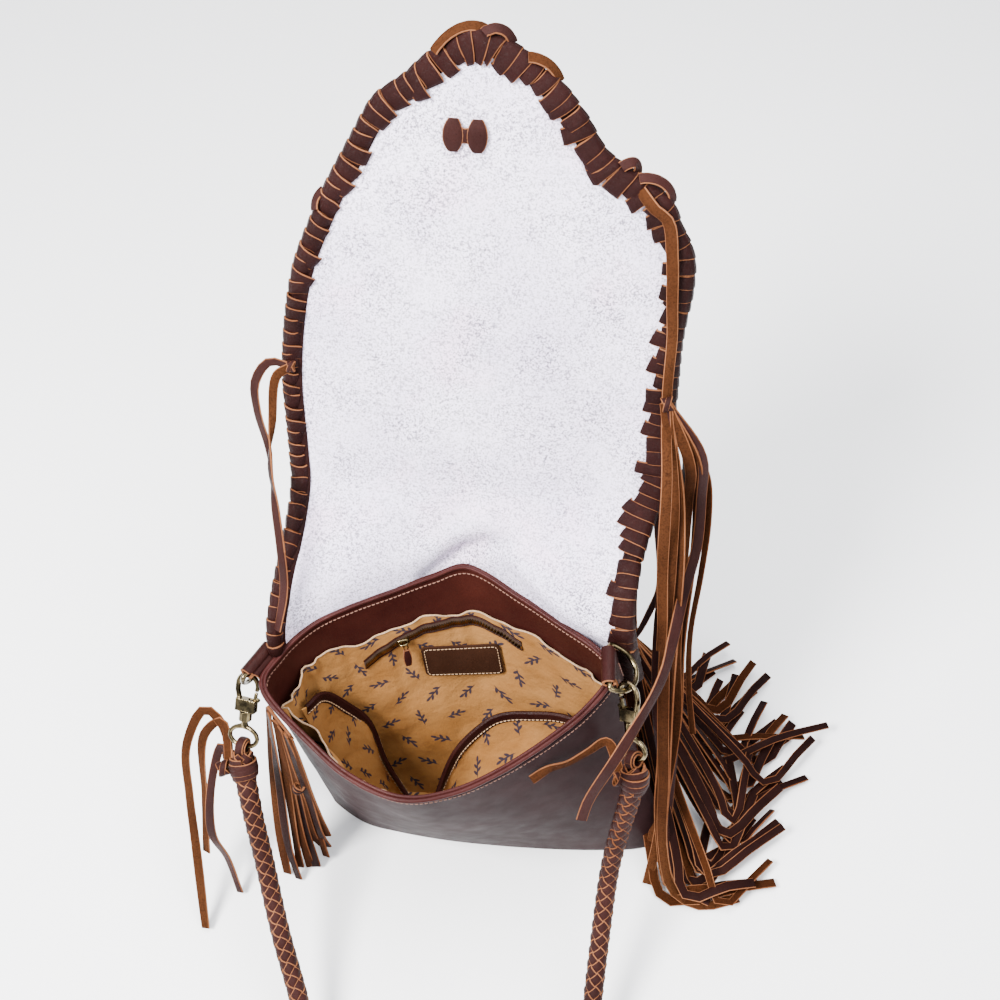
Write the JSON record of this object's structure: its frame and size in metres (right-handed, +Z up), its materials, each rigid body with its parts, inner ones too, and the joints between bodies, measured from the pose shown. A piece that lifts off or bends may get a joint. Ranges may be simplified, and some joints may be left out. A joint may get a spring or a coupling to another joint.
{
  "type": "crossbody bag",
  "caption": "Soft leather crossbody bag standing open, its laced suede flap raised, with a braided strap on ring clips, a lined inside with pockets and a pile of leather fringe.",
  "frame": {"origin": "centre of the base, on the floor it stands on", "axes": "+Z up, +X to the viewer's right, +Y towards the back, where the flap is sewn"},
  "size_m": [0.5209, 0.6749, 0.6256],
  "materials": {
    "body_leather": "soft dark leather with a light sheen",
    "suede": "grey suede",
    "lining_cloth": "printed cotton",
    "lace_leather": "dark lace with raw edges",
    "fringe_leather": "strips with a suede back",
    "braid_leather": "braided",
    "trim_leather": "smooth binding",
    "label_leather": "smooth, bare",
    "zip_tape": "woven tape with a coil",
    "old_brass": "antique, worn"
  },
  "bodies": {
    "bag": {"body_shell": "body_leather", "lining": "lining_cloth", "pocket_left": "lining_cloth", "pocket_left_trim": "trim_leather", "pocket_right": "lining_cloth", "pocket_right_trim": "trim_leather", "zip_coil": "zip_tape", "zip_slider": "old_brass", "zip_pull": "old_brass", "label_patch": "label_leather", "flap": "suede", "edge_lacing": "lace_leather", "tab_left": "body_leather", "tab_right": "body_leather", "d_ring_left": "old_brass", "d_ring_right": "old_brass", "clip_left": "old_brass", "clip_right": "old_brass", "eye_left": "old_brass", "eye_right": "old_brass", "braided_strap": "braid_leather", "knot_left": "lace_leather", "knot_right": "lace_leather", "flap_stitch": "lace_leather", "laces_left": "fringe_leather", "lace_bundle": "fringe_leather", "fringe_right": "fringe_leather", "fringe_left": "fringe_leather"},
    "left_lever": {"lever_left": "old_brass"},
    "right_lever": {"lever_right": "old_brass"}
  },
  "joints": [
    {"name": "left_clip_lever", "type": "hinge", "parent": "bag", "child": "left_lever", "pos_m": [-0.18352, -0.01369, 0.19568], "axis": [-0.2358, -0.7519, 0.6157], "range_deg": [0, 25], "stiffness_Nm_per_rad": 0.006},
    {"name": "right_clip_lever", "type": "hinge", "parent": "bag", "child": "right_lever", "pos_m": [0.0903, -0.01073, 0.23173], "axis": [0.6595, 0.64, -0.3944], "range_deg": [0, 25], "stiffness_Nm_per_rad": 0.006}
  ]
}
